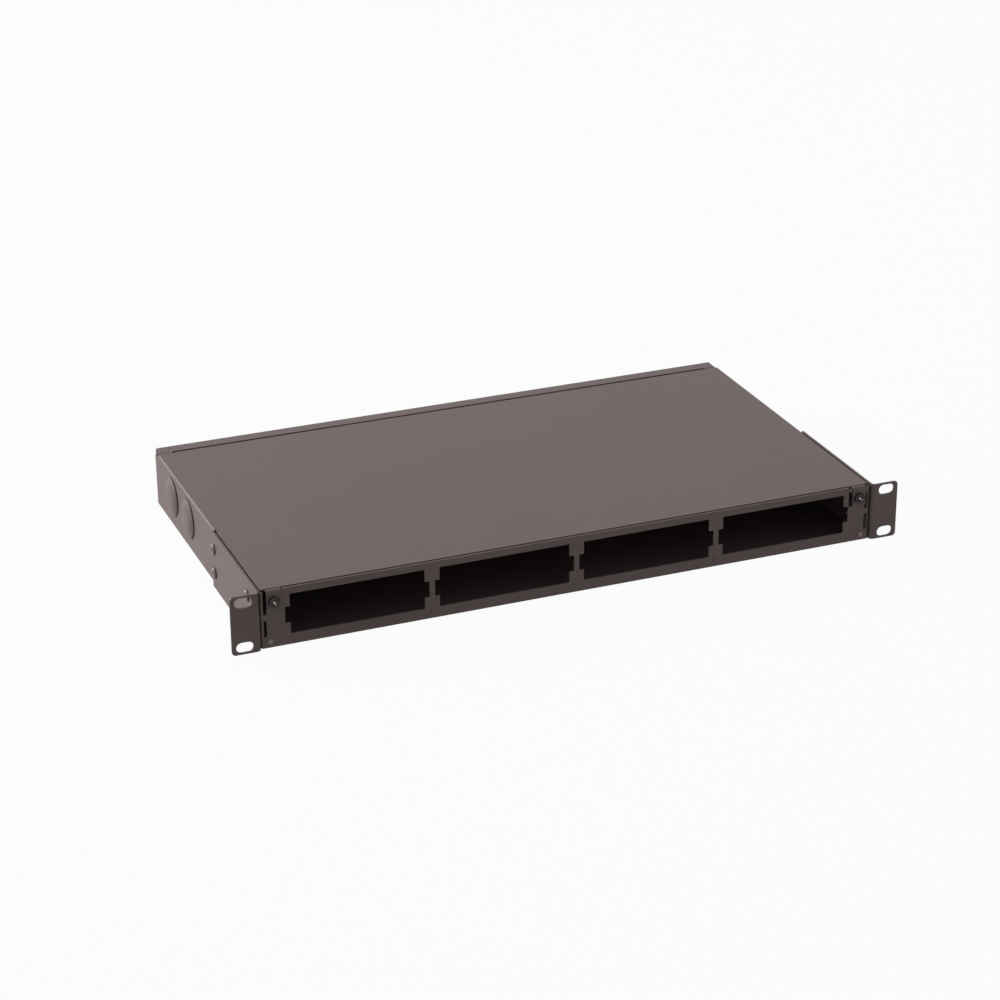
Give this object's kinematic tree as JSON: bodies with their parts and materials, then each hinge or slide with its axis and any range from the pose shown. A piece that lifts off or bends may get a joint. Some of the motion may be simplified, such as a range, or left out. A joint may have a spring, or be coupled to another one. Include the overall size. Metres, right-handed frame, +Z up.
{
  "type": "rack fiber enclosure",
  "caption": "Flat folded-steel rack enclosure with open front bays, side ears, slack spools inside and a screwed cover that tilts up about its rear edge.",
  "frame": {"origin": "centre of the underside", "axes": "+X along the front to the right, +Y from the front to the rear, +Z up"},
  "size_m": [0.4826, 0.2606, 0.0415],
  "materials": {
    "powder_coat": "satin dark grey-brown powder coat",
    "black_oxide": "black oxide",
    "zinc": "bright zinc plating",
    "nylon": "moulded black nylon",
    "rubber": "soft black rubber"
  },
  "bodies": {
    "root": {"base_tray": "powder_coat", "cable_clip_1": "nylon", "cable_clip_2": "nylon", "cable_clip_3": "nylon", "cable_clip_4": "nylon", "front_panel": "powder_coat", "ground_nut": "zinc", "ground_stud": "zinc", "ground_washer": "zinc", "left_bracket_screw_front_lower": "black_oxide", "left_bracket_screw_front_upper": "black_oxide", "left_bracket_screw_rear_lower": "black_oxide", "left_bracket_screw_rear_upper": "black_oxide", "left_clinch_nut_front_lower": "zinc", "left_clinch_nut_front_upper": "zinc", "left_clinch_nut_rear_lower": "zinc", "left_clinch_nut_rear_upper": "zinc", "left_cover_screw_nut": "zinc", "left_fiber_spool": "nylon", "left_mounting_bracket": "powder_coat", "left_rear_grommet": "rubber", "left_spool_rivet_1": "nylon", "left_spool_rivet_2": "nylon", "left_tie_bracket": "zinc", "left_tie_rivet_1": "zinc", "left_tie_rivet_2": "zinc", "panel_rivet_1": "powder_coat", "panel_rivet_2": "powder_coat", "panel_rivet_3": "powder_coat", "panel_rivet_4": "powder_coat", "panel_rivet_5": "powder_coat", "right_bracket_screw_front_lower": "black_oxide", "right_bracket_screw_front_upper": "black_oxide", "right_bracket_screw_rear_lower": "black_oxide", "right_bracket_screw_rear_upper": "black_oxide", "right_clinch_nut_front_lower": "zinc", "right_clinch_nut_front_upper": "zinc", "right_clinch_nut_rear_lower": "zinc", "right_clinch_nut_rear_upper": "zinc", "right_cover_screw_nut": "zinc", "right_fiber_spool": "nylon", "right_mounting_bracket": "powder_coat", "right_rear_grommet": "rubber", "right_spool_rivet_1": "nylon", "right_spool_rivet_2": "nylon", "right_tie_bracket": "zinc", "right_tie_rivet_1": "zinc", "right_tie_rivet_2": "zinc"},
    "cover": {"top_cover": "powder_coat", "left_front_knockout": "powder_coat", "left_rear_knockout": "powder_coat", "right_front_knockout": "powder_coat", "right_rear_knockout": "powder_coat"},
    "left_cover_screw": {"left_cover_screw": "black_oxide"},
    "right_cover_screw": {"right_cover_screw": "black_oxide"}
  },
  "joints": [
    {"name": "cover_tilt", "type": "hinge", "parent": "root", "child": "cover", "pos_m": [0, 0.116, 0.0415], "axis": [-1, 0, 0], "range_deg": [0, 60]},
    {"name": "left_cover_screw_turn", "type": "hinge", "parent": "root", "child": "left_cover_screw", "pos_m": [-0.2118, -0.12815, 0.0332], "axis": [0, 1, 0], "continuous": true},
    {"name": "right_cover_screw_turn", "type": "hinge", "parent": "root", "child": "right_cover_screw", "pos_m": [0.2118, -0.12815, 0.0332], "axis": [0, 1, 0], "continuous": true}
  ]
}
